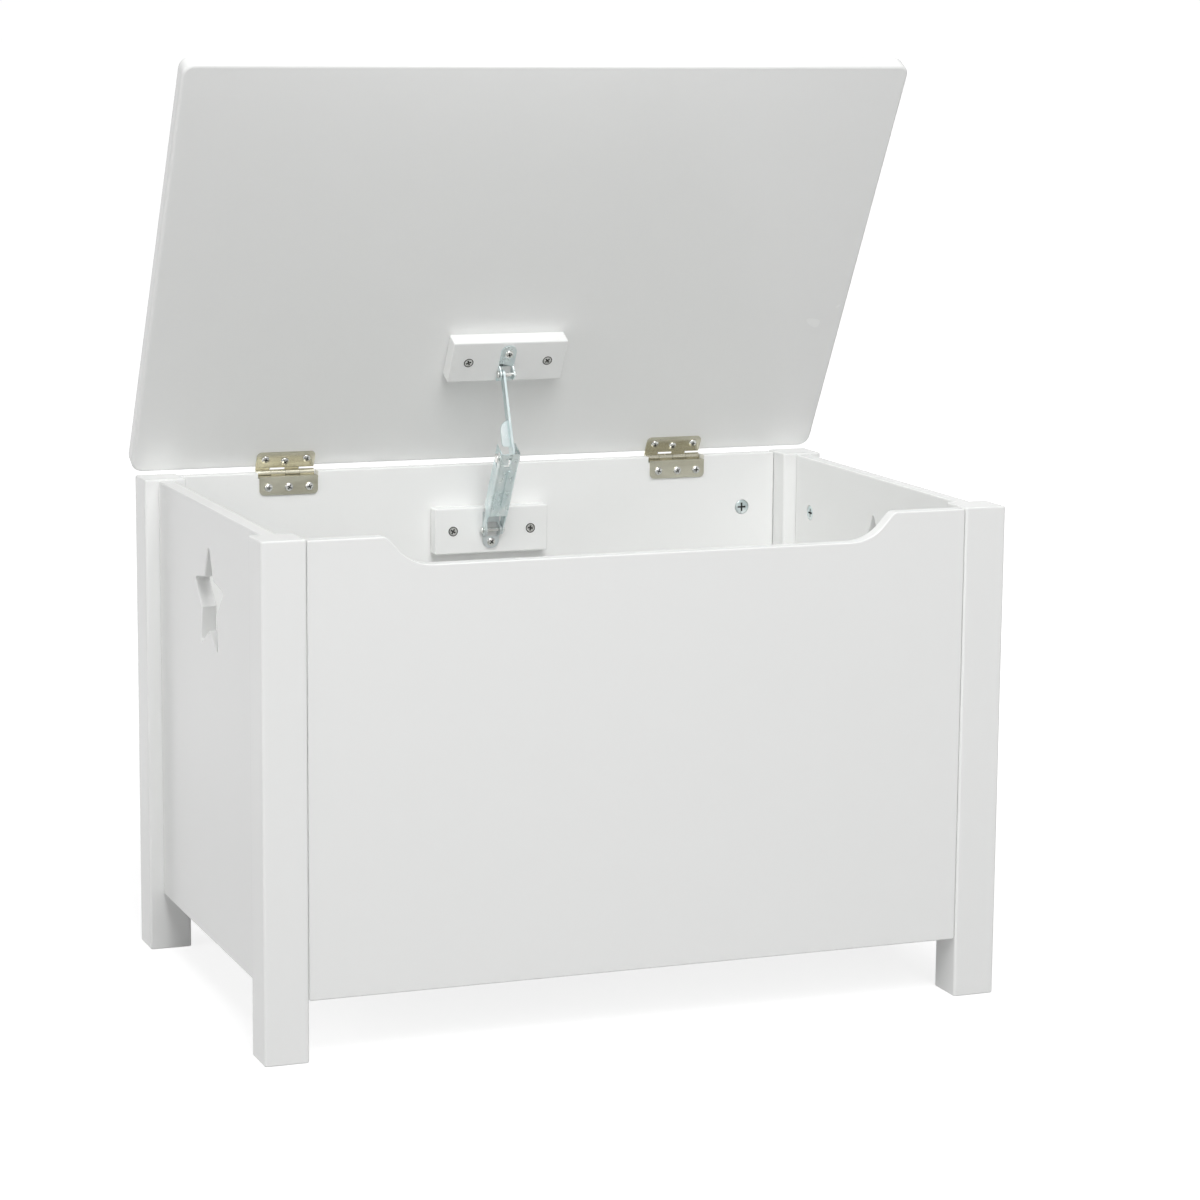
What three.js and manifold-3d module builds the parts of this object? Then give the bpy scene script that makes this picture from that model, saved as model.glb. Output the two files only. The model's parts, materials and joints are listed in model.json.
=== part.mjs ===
// A child's wooden toy box: four corner posts, four panels, a floor, and a lid that a folding
// metal stay holds open. Millimetres, +Z up, +Y towards the hinged side, +X to the right.
// The lid is drawn open, at the angle where its stay locks.

import * as THREE from 'three';
import { mergeVertices } from 'three/addons/utils/BufferGeometryUtils.js';
import Module from 'manifold-3d';

const wasm = await Module();
wasm.setup();

// ---------- driving dimensions ----------

const WIDTH = 600;
const DEPTH = 381;
const POST_HEIGHT = 392;
const POST_SIDE = 34.5;
const BOARD = 12;
const PANEL_BOTTOM = 47;
const TOP_STEP = 1;
const GAP = 0.3;
const SEAT = 0.2;

const FACE_INSET = 1.2;
const SIDE_INSET = 11.2;

const HALF_WIDTH = WIDTH / 2;
const HALF_DEPTH = DEPTH / 2;
const INNER_POST_X = HALF_WIDTH - POST_SIDE;
const INNER_POST_Y = HALF_DEPTH - POST_SIDE;
const PANEL_TOP = POST_HEIGHT - TOP_STEP;
const FRONT_MID_Y = HALF_DEPTH - FACE_INSET - BOARD / 2;
const SIDE_MID_X = HALF_WIDTH - SIDE_INSET - BOARD / 2;
const INNER_FACE_Y = FRONT_MID_Y - BOARD / 2;
const INNER_FACE_X = SIDE_MID_X - BOARD / 2;

const SCOOP = { low: 369, halfLength: 168.5, wide: 37, tight: 6, slope: THREE.MathUtils.degToRad(48) };
const STAR = { z: 316.5, tip: 45, waist: 22.5, round: 2.6 };
const FLOOR = { z: 60, thickness: 6, tongue: 4, grooveSlack: 0.3 };

const LID = {
  width: 607,
  depth: 382.6,
  thickness: 15.2,
  corner: 10,
  edge: 2.5,
  open: THREE.MathUtils.degToRad(60.66),
};

const HINGE = {
  x: 173.5,
  width: 50,
  y: 189.1,
  barrel: 3.1,
  pin: 1.4,
  sheet: 1.2,
  leaf: 15.2,
  rearEdge: 3.6,
  knuckles: 4,
  corner: 4,
};
HINGE.toUnderside = HINGE.barrel + SEAT;
HINGE.z = POST_HEIGHT + GAP - HINGE.toUnderside;

const BLOCK = { width: 100, height: 39, thickness: 14, edge: 1.5, screwX: 34.5 };
BLOCK.lidCentre = 110;
BLOCK.wallCentre = 336.8;

const STAY = {
  x: -1.3,
  lidPivot: { along: 100.6, out: 18.65 },
  wallPivot: { y: 158.4, z: 337.7 },
  elbow: { y: 121.5, z: 403 },
  pin: 1.8,
  elbowPin: 2,
  sheet: 1.2,
  channelHalf: 8.5,
  channelFront: -7.2,
  bend: 2.2,
  channelRear: 9.5,
  channelFoot: 20,
  channelTop: 83.2,
  earRadius: 4.2,
  slotDrop: 0.8,
  slotHalf: 4.1,
  slotRadius: 2.9,
};

const CAM = { fromPost: 30, radius: 6, depth: 9, bolt: 2.5, intoPost: 20, low: 95, high: 344 };

// ---------- materials ----------

const paint = new THREE.MeshStandardMaterial({ color: 0xf1f1ee, roughness: 0.35, metalness: 0, flatShading: true });
const nickel = new THREE.MeshStandardMaterial({ color: 0xb9b3a2, roughness: 0.25, metalness: 1, flatShading: true });
const zinc = new THREE.MeshStandardMaterial({ color: 0xb8c4c4, roughness: 0.35, metalness: 1, flatShading: true });
const bright = new THREE.MeshStandardMaterial({ color: 0xd8d8d4, roughness: 0.2, metalness: 1, flatShading: true });

// ---------- solid helpers ----------

function toSolid(geometry) {
  const bare = geometry.clone();
  bare.deleteAttribute('normal');
  bare.deleteAttribute('uv');
  const welded = mergeVertices(bare, 1e-4);
  const mesh = new wasm.Mesh({
    numProp: 3,
    vertProperties: new Float32Array(welded.attributes.position.array),
    triVerts: new Uint32Array(welded.index.array),
  });
  return new wasm.Manifold(mesh);
}

function toGeometry(solid) {
  const mesh = solid.getMesh();
  const geometry = new THREE.BufferGeometry();
  geometry.setAttribute('position', new THREE.BufferAttribute(new Float32Array(mesh.vertProperties), 3));
  geometry.setIndex(new THREE.BufferAttribute(new Uint32Array(mesh.triVerts), 1));
  geometry.computeVertexNormals();
  return geometry;
}

function join(first, ...others) {
  return others.reduce((sum, next) => sum.add(next), first);
}

function cut(body, cutters) {
  return cutters.reduce((left, cutter) => left.subtract(cutter), body);
}

const toyBox = new THREE.Group();

function place(name, solid, material, parent = toyBox) {
  const mesh = new THREE.Mesh(toGeometry(solid), material);
  mesh.name = name;
  parent.add(mesh);
  return mesh;
}

// A box from its low corner to its high corner.
function brick(low, high) {
  const size = high.map((value, axis) => value - low[axis]);
  const geometry = new THREE.BoxGeometry(...size);
  geometry.translate(...low.map((value, axis) => value + size[axis] / 2));
  return toSolid(geometry);
}

// A prism: a shape drawn in X and Y, pushed up Z.
function prism(shape, height, curveSegments = 6) {
  return toSolid(new THREE.ExtrudeGeometry(shape, { depth: height, bevelEnabled: false, curveSegments }));
}

// The same prism stood in the X-Z plane with its thickness along Y, from y to y + thickness.
function uprightPrism(shape, thickness, y, curveSegments = 6) {
  return prism(shape, thickness, curveSegments).rotate([90, 0, 0]).translate([0, y + thickness, 0]);
}

// The same prism stood in the Y-Z plane with its thickness along X, from x to x + thickness.
function sidePrism(shape, thickness, x, curveSegments = 6) {
  return prism(shape, thickness, curveSegments).rotate([90, 0, 90]).translate([x, 0, 0]);
}

function roundedRectangle(width, height, radius) {
  const w = width / 2;
  const h = height / 2;
  const shape = new THREE.Shape();
  shape.moveTo(-w + radius, -h);
  shape.lineTo(w - radius, -h);
  shape.absarc(w - radius, -h + radius, radius, -Math.PI / 2, 0);
  shape.lineTo(w, h - radius);
  shape.absarc(w - radius, h - radius, radius, 0, Math.PI / 2);
  shape.lineTo(-w + radius, h);
  shape.absarc(-w + radius, h - radius, radius, Math.PI / 2, Math.PI);
  shape.lineTo(-w, -h + radius);
  shape.absarc(-w + radius, -h + radius, radius, Math.PI, Math.PI * 1.5);
  return shape;
}

// A slab with rounded plan corners and rounded top and bottom edges, centred in X and Y, from z = 0 up.
function easedSlab(width, depth, thickness, corner, edge, segments) {
  const shape = roundedRectangle(width - 2 * edge, depth - 2 * edge, corner - edge);
  const geometry = new THREE.ExtrudeGeometry(shape, {
    depth: thickness - 2 * edge,
    bevelThickness: edge,
    bevelSize: edge,
    bevelSegments: segments,
    curveSegments: 6,
  });
  geometry.translate(0, 0, edge);
  return toSolid(geometry);
}

// A turned solid about Z from a list of [radius, z] points that starts and ends on the axis.
function turned(profile, segments = 20) {
  const points = profile.map(([radius, z]) => new THREE.Vector2(radius, z));
  const geometry = new THREE.LatheGeometry(points, segments);
  geometry.rotateX(Math.PI / 2);
  return toSolid(geometry);
}

// A round bar along X between two places.
function barX(radius, from, to, y, z, segments = 20) {
  const length = to - from;
  const bar = turned([[0, 0], [radius, 0], [radius, length], [0, length]], segments);
  return bar.rotate([0, 90, 0]).translate([from, y, z]);
}

// ---------- cam fittings: where each sits, which way its bolt and its open face point ----------

function camPlaces() {
  const places = [];
  const levels = { lower: CAM.low, upper: CAM.high };
  const sides = { left: -1, right: 1 };
  const ends = { front: -1, back: 1 };
  for (const [level, z] of Object.entries(levels)) {
    for (const [end, ySign] of Object.entries(ends)) {
      for (const [side, xSign] of Object.entries(sides)) {
        places.push({
          name: `cam_fitting_${end}_panel_${side}_${level}`,
          panel: `${end}_panel`,
          post: `${end}_${side}_post`,
          at: [xSign * (INNER_POST_X - CAM.fromPost), ySign * INNER_FACE_Y, z],
          toPost: [xSign, 0, 0],
          inward: [0, -ySign, 0],
        });
        places.push({
          name: `cam_fitting_${side}_panel_${end}_${level}`,
          panel: `${side}_panel`,
          post: `${end}_${side}_post`,
          at: [xSign * INNER_FACE_X, ySign * (INNER_POST_Y - CAM.fromPost), z],
          toPost: [0, ySign, 0],
          inward: [-xSign, 0, 0],
        });
      }
    }
  }
  return places;
}

// Turns a solid drawn with its bolt along X and its open face along Z to where a fitting sits.
function atCam(solid, spot) {
  const toPost = new THREE.Vector3(...spot.toPost);
  const inward = new THREE.Vector3(...spot.inward);
  const across = new THREE.Vector3().crossVectors(inward, toPost);
  const basis = new THREE.Matrix4().makeBasis(toPost, across, inward);
  basis.setPosition(...spot.at);
  return solid.transform(basis.elements);
}

function camShape(grow) {
  const disc = turned([
    [0, -CAM.depth - grow],
    [CAM.radius + grow, -CAM.depth - grow],
    [CAM.radius + grow, grow],
    [0, grow],
  ], 24);
  const reach = CAM.fromPost + CAM.intoPost + grow;
  const bolt = barX(CAM.bolt + grow, 0, reach, 0, -BOARD / 2, 12);
  return disc.add(bolt);
}

function crossRecess(length, width, depth, top) {
  const half = length / 2;
  const thin = width / 2;
  const bar = brick([-half, -thin, top - depth], [half, thin, top + 1]);
  return bar.add(bar.rotate([0, 0, 90]));
}

const CAMS = camPlaces();

function camCutters(key, owner) {
  return CAMS.filter((spot) => spot[key] === owner).map((spot) => atCam(camShape(GAP), spot));
}

function addCamFittings() {
  const fitting = camShape(0).subtract(crossRecess(6.4, 1.3, 2.2, 0));
  for (const spot of CAMS) {
    place(spot.name, atCam(fitting, spot), zinc);
  }
}

// ---------- screws ----------

// A raised-head screw standing on z = 0, its thread going down.
function raisedScrew(head, rise, shank, length) {
  const shoulder = turned([
    [0, -length],
    [shank * 0.4, -length],
    [shank, -length + 3],
    [shank, 0],
    [head, 0],
    [head, rise * 0.35],
    [head * 0.72, rise * 0.85],
    [0, rise],
  ], 16);
  return shoulder.subtract(crossRecess(head * 1.15, head * 0.28, rise * 0.7, rise));
}

// A countersunk screw whose flat head is level with z = 0.
function countersunkScrew(head, shank, length) {
  const body = turned([
    [0, -length],
    [shank * 0.4, -length],
    [shank, -length + 3],
    [shank, -(head - shank)],
    [head, 0],
    [0, 0],
  ], 16);
  return body.subtract(crossRecess(head * 1.1, head * 0.26, head * 0.4, 0));
}

function shankHole(shank, length) {
  return turned([[0, -length - GAP], [shank + GAP, -length - GAP], [shank + GAP, 4], [0, 4]], 12);
}

function countersunkHole(head, shank, length) {
  return turned([
    [0, -length - GAP],
    [shank + GAP, -length - GAP],
    [shank + GAP, -(head - shank) - GAP * 0.4],
    [head + GAP, 0],
    [head + GAP, 2],
    [0, 2],
  ], 16);
}

const LEAF_SCREW = { head: 3.4, rise: 1.7, shank: 1.5, length: 9.5 };
const BLOCK_SCREW = { head: 4.1, shank: 2, length: 23 };
const BRACKET_SCREW = { head: 3.6, rise: 1.9, shank: 1.7, length: 11 };

// ---------- posts ----------

function addPosts() {
  for (const [end, ySign] of [['front', -1], ['back', 1]]) {
    for (const [side, xSign] of [['left', -1], ['right', 1]]) {
      const name = `${end}_${side}_post`;
      const blank = prism(roundedRectangle(POST_SIDE, POST_SIDE, 1.5), POST_HEIGHT, 3);
      const x = xSign * (HALF_WIDTH - POST_SIDE / 2);
      const y = ySign * (HALF_DEPTH - POST_SIDE / 2);
      place(name, cut(blank.translate([x, y, 0]), camCutters('post', name)), paint);
    }
  }
}

// ---------- panels ----------

const LONG_PANEL = INNER_POST_X - GAP;
const SHORT_PANEL = INNER_POST_Y - GAP;

// The groove that the floor's tongue sits in, right through the box.
function floorGroove() {
  const slack = FLOOR.grooveSlack;
  const low = FLOOR.z - slack;
  const high = FLOOR.z + FLOOR.thickness + slack;
  const x = INNER_FACE_X + FLOOR.tongue + slack;
  const y = INNER_FACE_Y + FLOOR.tongue + slack;
  return brick([-x, -y, low], [x, y, high]);
}

// How far from the middle the scoop's slope has risen to the full height of the panel.
function scoopEnd() {
  const { low, halfLength, wide, tight, slope } = SCOOP;
  const bend = 1 - Math.cos(slope);
  const straightRise = PANEL_TOP - low - (wide + tight) * bend;
  return halfLength + (wide + tight) * Math.sin(slope) + straightRise / Math.tan(slope);
}

function frontPanelShape() {
  const { low, halfLength, wide, tight, slope } = SCOOP;
  const shape = new THREE.Shape();
  shape.moveTo(-LONG_PANEL, PANEL_BOTTOM);
  shape.lineTo(LONG_PANEL, PANEL_BOTTOM);
  shape.lineTo(LONG_PANEL, PANEL_TOP);
  shape.lineTo(scoopEnd(), PANEL_TOP);
  shape.absarc(scoopEnd(), PANEL_TOP - tight, tight, Math.PI / 2, Math.PI / 2 + slope, false);
  shape.absarc(halfLength, low + wide, wide, slope - Math.PI / 2, -Math.PI / 2, true);
  shape.lineTo(-halfLength, low);
  shape.absarc(-halfLength, low + wide, wide, -Math.PI / 2, -Math.PI / 2 - slope, true);
  shape.absarc(-scoopEnd(), PANEL_TOP - tight, tight, Math.PI / 2 - slope, Math.PI / 2, false);
  shape.lineTo(-LONG_PANEL, PANEL_TOP);
  return shape;
}

function addFrontPanel() {
  const blank = uprightPrism(frontPanelShape(), BOARD, -FRONT_MID_Y - BOARD / 2, 8);
  place('front_panel', cut(blank, [floorGroove(), ...camCutters('panel', 'front_panel')]), paint);
}

// Room in the back panel's top edge for one hinge: a shallow notch, deeper behind for the barrel.
function hingeNotch(x) {
  const half = HINGE.width / 2 + 0.7;
  const shelf = HINGE.z - 2.6 - GAP;
  const under = HINGE.z - HINGE.barrel - 0.4;
  const behind = HINGE.y - HINGE.barrel - 0.4;
  const front = INNER_FACE_Y - 1;
  const back = HALF_DEPTH + 5;
  const notch = brick([x - half, front, shelf], [x + half, back, POST_HEIGHT + 5]);
  return notch.add(brick([x - half, behind, under], [x + half, back, POST_HEIGHT + 5]));
}

function addBackPanel() {
  const outer = FRONT_MID_Y + BOARD / 2;
  const blank = brick([-LONG_PANEL, INNER_FACE_Y, PANEL_BOTTOM], [LONG_PANEL, outer, PANEL_TOP]);
  const cutters = [floorGroove(), ...camCutters('panel', 'back_panel')];
  for (const side of [-1, 1]) {
    cutters.push(hingeNotch(side * HINGE.x));
    for (const spot of lowerScrewSpots(side * HINGE.x)) {
      cutters.push(facingFront(shankHole(LEAF_SCREW.shank, LEAF_SCREW.length), spot));
    }
    const blockScrew = countersunkHole(BLOCK_SCREW.head, BLOCK_SCREW.shank, BLOCK_SCREW.length);
    cutters.push(facingFront(blockScrew, [side * BLOCK.screwX, wallBlockFace(), BLOCK.wallCentre]));
  }
  place('back_panel', cut(blank, cutters), paint);
}

// A five-pointed star with softly rounded tips, one tip up, drawn about the origin.
function starShape() {
  const shape = new THREE.Shape();
  const corners = 10;
  const point = (step) => {
    const radius = step % 2 === 0 ? STAR.tip : STAR.waist;
    const angle = Math.PI / 2 + (step * Math.PI * 2) / corners;
    return new THREE.Vector2(radius * Math.cos(angle), radius * Math.sin(angle));
  };
  for (let step = 0; step < corners; step += 2) {
    const tip = point(step);
    const before = point(step + corners - 1);
    const after = point(step + 1);
    const back = (STAR.round * 2.4) / tip.distanceTo(before);
    const enter = tip.clone().lerp(before, back);
    const leave = tip.clone().lerp(after, back);
    if (step === 0) {
      shape.moveTo(enter.x, enter.y);
    } else {
      shape.lineTo(enter.x, enter.y);
    }
    shape.quadraticCurveTo(tip.x, tip.y, leave.x, leave.y);
    shape.lineTo(after.x, after.y);
  }
  return shape;
}

function addSidePanel(side, xSign) {
  const name = `${side}_panel`;
  const low = [xSign * SIDE_MID_X - BOARD / 2, -SHORT_PANEL, PANEL_BOTTOM];
  const high = [xSign * SIDE_MID_X + BOARD / 2, SHORT_PANEL, PANEL_TOP];
  const star = sidePrism(starShape(), BOARD * 2, low[0] - BOARD / 2, 4).translate([0, 0, STAR.z]);
  place(name, cut(brick(low, high), [floorGroove(), star, ...camCutters('panel', name)]), paint);
}

function addFloor() {
  const x = INNER_FACE_X + FLOOR.tongue;
  const y = INNER_FACE_Y + FLOOR.tongue;
  const top = FLOOR.z + FLOOR.thickness;
  const along = brick([-x, -SHORT_PANEL, FLOOR.z], [x, SHORT_PANEL, top]);
  const across = brick([-LONG_PANEL, -y, FLOOR.z], [LONG_PANEL, y, top]);
  place('floor_panel', along.add(across), paint);
}

// ---------- lid, drawn closed about the hinge axis, then turned open ----------

const lidGroup = new THREE.Group();
lidGroup.position.set(0, HINGE.y, HINGE.z);
lidGroup.rotation.x = -LID.open;
toyBox.add(lidGroup);

// Turns a solid drawn with its axis along +Z to face the front (-Y), its origin at the spot.
function facingFront(solid, spot) {
  return solid.rotate([90, 0, 0]).translate(spot);
}

// Turns a solid drawn with its axis along +Z to face down out of the closed lid's underside.
function facingDown(solid, spot) {
  return solid.rotate([180, 0, 0]).translate(spot);
}

// A place on the closed lid: x, the distance from its rear edge, and how far below its underside.
function onLid(x, along, below) {
  return [x, -HINGE.rearEdge - along, HINGE.toUnderside - below];
}

function upperScrewSpots(x) {
  const below = SEAT + HINGE.sheet + SEAT;
  return [[-17.5, 9.3], [-0.8, 7], [17.5, 9.3]].map(([dx, along]) => onLid(x + dx, along, below));
}

function lowerScrewSpots(x) {
  const y = INNER_FACE_Y - SEAT - HINGE.sheet - SEAT;
  return [-17.5, 0, 17.5].map((dx) => [x + dx, y, HINGE.z - 10.2]);
}

function addLid() {
  const slab = easedSlab(LID.width, LID.depth, LID.thickness, LID.corner, LID.edge, 3);
  const blank = slab.translate([0, -HINGE.rearEdge - LID.depth / 2, HINGE.toUnderside]);
  const cutters = [];
  for (const side of [-1, 1]) {
    for (const spot of upperScrewSpots(side * HINGE.x)) {
      cutters.push(facingDown(shankHole(LEAF_SCREW.shank, LEAF_SCREW.length), spot));
    }
    const blockScrew = countersunkHole(BLOCK_SCREW.head, BLOCK_SCREW.shank, BLOCK_SCREW.length);
    cutters.push(facingDown(blockScrew, onLid(side * BLOCK.screwX, BLOCK.lidCentre, lidBlockFace())));
  }
  place('lid_panel', cut(blank, cutters), paint, lidGroup);
}

// ---------- hinges ----------

const KNUCKLE = HINGE.width / HINGE.knuckles;

// The knuckles of one leaf: every other one, starting at the first or the second.
function knuckleSpans(x, first) {
  const spans = [];
  for (let index = first; index < HINGE.knuckles; index += 2) {
    const from = x - HINGE.width / 2 + index * KNUCKLE;
    spans.push([from + GAP / 2, from + KNUCKLE - GAP / 2]);
  }
  return spans;
}

function leafPlate(length) {
  const shape = roundedRectangle(HINGE.width, length + HINGE.corner, HINGE.corner);
  const plate = prism(shape, HINGE.sheet, 4).translate([0, -(length + HINGE.corner) / 2 + HINGE.corner, 0]);
  const half = HINGE.width / 2 + 1;
  return plate.subtract(brick([-half, 0, -1], [half, HINGE.corner + 1, HINGE.sheet + 1]));
}

function addUpperLeaf(side, x) {
  const top = HINGE.toUnderside - SEAT;
  const edge = -HINGE.rearEdge - 0.4;
  let leaf = leafPlate(HINGE.leaf).translate([x, edge, top - HINGE.sheet]);
  for (const [from, to] of knuckleSpans(x, 0)) {
    leaf = join(leaf, brick([from, edge - 1, top - HINGE.sheet], [to, 0, top]));
    leaf = join(leaf, barX(HINGE.barrel, from, to, 0, 0));
  }
  const holes = upperScrewSpots(x).map((spot) => facingDown(shankHole(LEAF_SCREW.shank, LEAF_SCREW.length), spot));
  const bore = barX(HINGE.pin + GAP, x - HINGE.width, x + HINGE.width, 0, 0, 16);
  place(`${side}_hinge_upper_leaf`, cut(leaf, [bore, ...holes]), nickel, lidGroup);
}

function addLowerLeaf(side, x) {
  const shelfTop = HINGE.z - 1.4;
  const front = INNER_FACE_Y - SEAT - HINGE.sheet;
  const plate = leafPlate(HINGE.leaf).rotate([90, 0, 0]);
  let leaf = plate.translate([x, front + HINGE.sheet, shelfTop]);
  const half = HINGE.width / 2;
  const shelfBack = HINGE.y - HINGE.barrel - 0.5;
  leaf = join(leaf, brick([x - half, front, shelfTop - HINGE.sheet], [x + half, shelfBack, shelfTop]));
  for (const [from, to] of knuckleSpans(x, 1)) {
    leaf = join(leaf, brick([from, shelfBack - 1, shelfTop - HINGE.sheet], [to, HINGE.y, shelfTop]));
    leaf = join(leaf, barX(HINGE.barrel, from, to, HINGE.y, HINGE.z));
  }
  const holes = lowerScrewSpots(x).map((spot) => facingFront(shankHole(LEAF_SCREW.shank, LEAF_SCREW.length), spot));
  const bore = barX(HINGE.pin + GAP, x - HINGE.width, x + HINGE.width, HINGE.y, HINGE.z, 16);
  place(`${side}_hinge_lower_leaf`, cut(leaf, [bore, ...holes]), nickel);
}

function addHinge(side, xSign) {
  const x = xSign * HINGE.x;
  const half = HINGE.width / 2;
  const screw = raisedScrew(LEAF_SCREW.head, LEAF_SCREW.rise, LEAF_SCREW.shank, LEAF_SCREW.length);
  addUpperLeaf(side, x);
  addLowerLeaf(side, x);
  place(`${side}_hinge_pin`, barX(HINGE.pin, x - half, x + half, HINGE.y, HINGE.z, 16), nickel);
  upperScrewSpots(x).forEach((spot, index) => {
    place(`${side}_hinge_upper_screw_${index + 1}`, facingDown(screw, spot), bright, lidGroup);
  });
  lowerScrewSpots(x).forEach((spot, index) => {
    place(`${side}_hinge_lower_screw_${index + 1}`, facingFront(screw, spot), bright);
  });
}

// ---------- spacer blocks under the stay's brackets ----------

function lidBlockFace() {
  return SEAT + BLOCK.thickness;
}

function wallBlockFace() {
  return INNER_FACE_Y - SEAT - BLOCK.thickness;
}

// One block lying with its open face up at z = 0 and its screw holes through it.
function blockBlank(bracketScrewAlong) {
  const slab = easedSlab(BLOCK.width, BLOCK.height, BLOCK.thickness, BLOCK.edge + 0.5, BLOCK.edge, 2);
  const holes = [-1, 1].map((side) => {
    const hole = countersunkHole(BLOCK_SCREW.head, BLOCK_SCREW.shank, BLOCK_SCREW.length);
    return hole.translate([side * BLOCK.screwX, 0, 0]);
  });
  holes.push(bracketHole().translate([STAY.x, bracketScrewAlong, 0]));
  return cut(slab.translate([0, 0, -BLOCK.thickness]), holes);
}

function bracketHole() {
  return shankHole(BRACKET_SCREW.shank, BRACKET_SCREW.length);
}

function addBlocks() {
  const screw = countersunkScrew(BLOCK_SCREW.head, BLOCK_SCREW.shank, BLOCK_SCREW.length);
  const lidSpot = onLid(0, BLOCK.lidCentre, lidBlockFace());
  const wallSpot = [0, wallBlockFace(), BLOCK.wallCentre];
  place('lid_stay_block', facingDown(blockBlank(UPPER_BRACKET.screw - BLOCK.lidCentre), lidSpot), paint, lidGroup);
  place('back_stay_block', facingFront(blockBlank(LOWER_BRACKET.screw - BLOCK.wallCentre), wallSpot), paint);
  for (const [side, sign] of [['left', -1], ['right', 1]]) {
    const x = sign * BLOCK.screwX;
    const onLidSpot = onLid(x, BLOCK.lidCentre, lidBlockFace());
    place(`lid_block_screw_${side}`, facingDown(screw, onLidSpot), bright, lidGroup);
    place(`back_block_screw_${side}`, facingFront(screw, [x, wallBlockFace(), BLOCK.wallCentre]), bright);
  }
}

// ---------- folding stay ----------

const UPPER_BRACKET = { half: 6.5, low: 92, high: 126.5, screw: 118.8, sheet: 1.4, ear: 4.6 };
const LOWER_BRACKET = { half: 7, low: 321.5, high: 352.5, screw: 327, sheet: 1.4, ear: 4.4 };
const ARM = { thickness: 2, top: 4, waist: 4, bottom: 4.8, topX: -3, elbowX: 4.8 };
const SHOE = { half: 5, from: 38, to: 60, offset: -3 };

// A bracket lying on z = 0: a plate along Y with one round end, and two ears that hold the pin.
function bracketBlank(spec, pivotAlong, pivotUp, screwAlong, roundEnd) {
  const mid = (spec.low + spec.high) / 2;
  const length = spec.high - spec.low;
  const plateShape = roundedRectangle(2 * spec.half, length, spec.half - 0.5);
  const round = prism(plateShape, spec.sheet, 6).translate([0, mid, 0]);
  const squareFrom = roundEnd > 0 ? spec.low : mid;
  const squareTo = roundEnd > 0 ? mid : spec.high;
  const square = brick([-spec.half, squareFrom, 0], [spec.half, squareTo, spec.sheet]);
  const windowHalf = spec.half - spec.sheet - GAP / 2;
  const opening = brick([-windowHalf, pivotAlong - 6, -1], [windowHalf, pivotAlong + 6, spec.sheet + 1]);
  let bracket = join(round, square).subtract(opening);
  for (const side of [-1, 1]) {
    const inner = side > 0 ? spec.half - spec.sheet : -spec.half;
    const ear = new THREE.Shape();
    ear.moveTo(pivotAlong - spec.ear - 2.5, 0);
    ear.lineTo(pivotAlong + spec.ear + 2.5, 0);
    ear.absarc(pivotAlong, pivotUp, spec.ear, 0, Math.PI, false);
    bracket = join(bracket, sidePrism(ear, spec.sheet, inner, 8));
  }
  const bore = barX(STAY.pin + GAP, -spec.half - 1, spec.half + 1, pivotAlong, pivotUp, 16);
  const hole = shankHole(BRACKET_SCREW.shank, BRACKET_SCREW.length).translate([0, screwAlong, 0]);
  return cut(bracket, [bore, hole]);
}

// A pin along X, centred on the origin, from a half profile of [radius, distance from the middle].
function stayPin(steps) {
  const profile = [[0, -steps[steps.length - 1][1]]];
  for (let index = steps.length - 1; index > 0; index -= 1) {
    profile.push([steps[index][0], -steps[index][1]], [steps[index][0], -steps[index - 1][1]]);
  }
  profile.push([steps[0][0], -steps[0][1]], [steps[0][0], steps[0][1]]);
  for (let index = 1; index < steps.length; index += 1) {
    profile.push([steps[index][0], steps[index - 1][1]], [steps[index][0], steps[index][1]]);
  }
  profile.push([0, steps[steps.length - 1][1]]);
  return turned(profile, 16).rotate([0, 90, 0]);
}

function addBrackets() {
  const screw = raisedScrew(BRACKET_SCREW.head, BRACKET_SCREW.rise, BRACKET_SCREW.shank, BRACKET_SCREW.length);
  const pivot = STAY.lidPivot;
  const upper = bracketBlank(UPPER_BRACKET, pivot.along, pivot.out - lidBlockFace() - SEAT, UPPER_BRACKET.screw, 1);
  place('stay_upper_bracket', facingDown(upper, onLid(STAY.x, 0, lidBlockFace() + SEAT)), zinc, lidGroup);
  const upperScrew = onLid(STAY.x, UPPER_BRACKET.screw, lidBlockFace() + 2 * SEAT + UPPER_BRACKET.sheet);
  place('stay_upper_bracket_screw', facingDown(screw, upperScrew), bright, lidGroup);

  const face = wallBlockFace() - SEAT;
  const out = face - STAY.wallPivot.y;
  const lower = bracketBlank(LOWER_BRACKET, STAY.wallPivot.z, out, LOWER_BRACKET.screw, -1);
  place('stay_lower_bracket', facingFront(lower, [STAY.x, face, 0]), zinc);
  const lowerScrew = [STAY.x, face - LOWER_BRACKET.sheet - SEAT, LOWER_BRACKET.screw];
  place('stay_lower_bracket_screw', facingFront(screw, lowerScrew), bright);
}

// Where the lid's pivot for the stay lies with the lid open, in the box's Y and Z.
function lidPivotOpen() {
  const [, y, z] = onLid(0, STAY.lidPivot.along, STAY.lidPivot.out);
  const cos = Math.cos(-LID.open);
  const sin = Math.sin(-LID.open);
  return { y: HINGE.y + y * cos - z * sin, z: HINGE.z + y * sin + z * cos };
}

// A group at one pivot whose own +Z runs to another pivot.
function linkGroup(from, to) {
  const group = new THREE.Group();
  group.position.set(STAY.x, from.y, from.z);
  group.rotation.x = Math.atan2(-(to.y - from.y), to.z - from.z);
  toyBox.add(group);
  return { group, length: Math.hypot(to.y - from.y, to.z - from.z) };
}

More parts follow.
